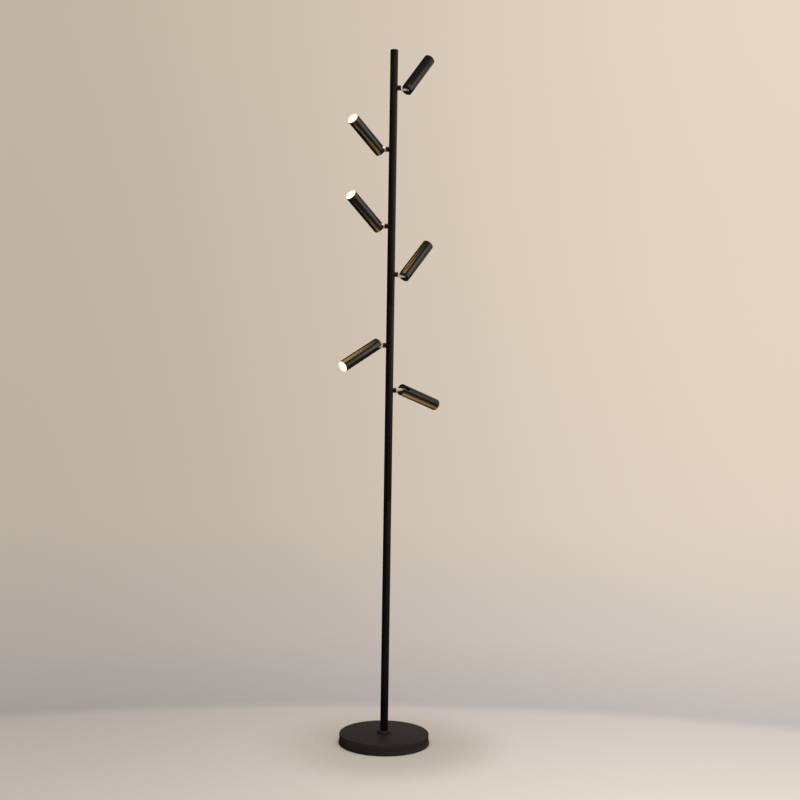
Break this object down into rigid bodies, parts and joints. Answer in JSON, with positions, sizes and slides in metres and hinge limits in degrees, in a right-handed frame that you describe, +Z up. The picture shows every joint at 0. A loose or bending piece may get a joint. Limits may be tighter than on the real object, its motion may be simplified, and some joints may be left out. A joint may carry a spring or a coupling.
{
  "type": "tree floor lamp",
  "caption": "Slim black floor lamp: round weighted base, straight pole and small tubular spot heads that swivel and tilt on knuckles to both sides.",
  "frame": {"origin": "centre of the base's underside, on the pole's axis", "axes": "+Z up along the pole, +X to the lamp's right, +Y to its rear, where the cord gland is"},
  "size_m": [0.2456, 0.2216, 1.6823],
  "materials": {
    "powder_coat": "matte black powder coat",
    "satin_coat": "satin black powder coat on drawn steel",
    "cast_iron": "as cast in sand",
    "sole_rubber": "pressed rubber sheet",
    "plated_steel": "zinc plated",
    "driver_case": "moulded ABS case",
    "gland_rubber": "moulded",
    "lead_sleeve": "insulated leads in an extruded sleeve",
    "chrome_plate": "zinc casting, blasted fine and satin chrome plated",
    "anodised_black": "drawn tube, anodised black",
    "cast_black": "casting with a satin black coat",
    "bare_aluminium": "as turned",
    "led_board": "white solder mask",
    "lit_lens": "clear moulded acrylic, lit from behind"
  },
  "bodies": {
    "stand": {"base_cover": "powder_coat", "base_weight": "cast_iron", "base_sole": "sole_rubber", "base_stud": "plated_steel", "base_washer": "plated_steel", "base_nut": "plated_steel", "led_driver": "driver_case", "cord_gland": "gland_rubber", "pole_lower_tube": "satin_coat", "pole_middle_tube": "satin_coat", "pole_upper_tube": "satin_coat", "pole_couplers": "plated_steel", "foot_plug": "plated_steel", "pole_collar": "powder_coat", "pole_cap": "satin_coat", "wire_loom": "lead_sleeve", "pole_bosses": "satin_coat"},
    "knuckle_1": {"swivel_knuckle_1": "chrome_plate"},
    "head_1": {"pivot_pin_1": "plated_steel", "hinge_fork_1": "cast_black", "lamp_tube_1": "anodised_black", "heat_sink_1": "bare_aluminium", "led_board_1": "led_board", "lens_1": "lit_lens"},
    "knuckle_2": {"swivel_knuckle_2": "chrome_plate"},
    "head_2": {"pivot_pin_2": "plated_steel", "hinge_fork_2": "cast_black", "lamp_tube_2": "anodised_black", "heat_sink_2": "bare_aluminium", "led_board_2": "led_board", "lens_2": "lit_lens"},
    "knuckle_3": {"swivel_knuckle_3": "chrome_plate"},
    "head_3": {"pivot_pin_3": "plated_steel", "hinge_fork_3": "cast_black", "lamp_tube_3": "anodised_black", "heat_sink_3": "bare_aluminium", "led_board_3": "led_board", "lens_3": "lit_lens"},
    "knuckle_4": {"swivel_knuckle_4": "chrome_plate"},
    "head_4": {"pivot_pin_4": "plated_steel", "hinge_fork_4": "cast_black", "lamp_tube_4": "anodised_black", "heat_sink_4": "bare_aluminium", "led_board_4": "led_board", "lens_4": "lit_lens"},
    "knuckle_5": {"swivel_knuckle_5": "chrome_plate"},
    "head_5": {"pivot_pin_5": "plated_steel", "hinge_fork_5": "cast_black", "lamp_tube_5": "anodised_black", "heat_sink_5": "bare_aluminium", "led_board_5": "led_board", "lens_5": "lit_lens"},
    "knuckle_6": {"swivel_knuckle_6": "chrome_plate"},
    "head_6": {"pivot_pin_6": "plated_steel", "hinge_fork_6": "cast_black", "lamp_tube_6": "anodised_black", "heat_sink_6": "bare_aluminium", "led_board_6": "led_board", "lens_6": "lit_lens"}
  },
  "joints": [
    {"name": "swivel_1", "type": "hinge", "parent": "stand", "child": "knuckle_1", "pos_m": [0.017, 0, 1.588], "axis": [1, 0, 0], "range_deg": [-143, 207]},
    {"name": "tilt_1", "type": "hinge", "parent": "knuckle_1", "child": "head_1", "pos_m": [0.03513, 0, 1.588], "axis": [0, -0.848, 0.5299], "range_deg": [-153, 27]},
    {"name": "swivel_2", "type": "hinge", "parent": "stand", "child": "knuckle_2", "pos_m": [-0.017, 0, 1.439], "axis": [-1, 0, 0], "range_deg": [-120, 230]},
    {"name": "tilt_2", "type": "hinge", "parent": "knuckle_2", "child": "head_2", "pos_m": [-0.03513, 0, 1.439], "axis": [0, 0.5736, 0.8192], "range_deg": [-148, 32]},
    {"name": "swivel_3", "type": "hinge", "parent": "stand", "child": "knuckle_3", "pos_m": [-0.017, 0, 1.2525], "axis": [-1, 0, 0], "range_deg": [-127, 223]},
    {"name": "tilt_3", "type": "hinge", "parent": "knuckle_3", "child": "head_3", "pos_m": [-0.03513, 0, 1.2525], "axis": [0, 0.6691, 0.7431], "range_deg": [-146.5, 33.5]},
    {"name": "swivel_4", "type": "hinge", "parent": "stand", "child": "knuckle_4", "pos_m": [0.017, 0, 1.1355], "axis": [1, 0, 0], "range_deg": [-140, 210]},
    {"name": "tilt_4", "type": "hinge", "parent": "knuckle_4", "child": "head_4", "pos_m": [0.03513, 0, 1.1355], "axis": [0, -0.8192, 0.5736], "range_deg": [-151, 29]},
    {"name": "swivel_5", "type": "hinge", "parent": "stand", "child": "knuckle_5", "pos_m": [-0.017, 0, 0.9635], "axis": [-1, 0, 0], "range_deg": [-44, 306]},
    {"name": "tilt_5", "type": "hinge", "parent": "knuckle_5", "child": "head_5", "pos_m": [-0.03513, 0, 0.9635], "axis": [0, -0.6561, 0.7547], "range_deg": [-138, 42]},
    {"name": "swivel_6", "type": "hinge", "parent": "stand", "child": "knuckle_6", "pos_m": [0.017, 0, 0.8545], "axis": [1, 0, 0], "range_deg": [-60, 290]},
    {"name": "tilt_6", "type": "hinge", "parent": "knuckle_6", "child": "head_6", "pos_m": [0.03513, 0, 0.8545], "axis": [0, 0.4226, 0.9063], "range_deg": [-135, 45]}
  ]
}
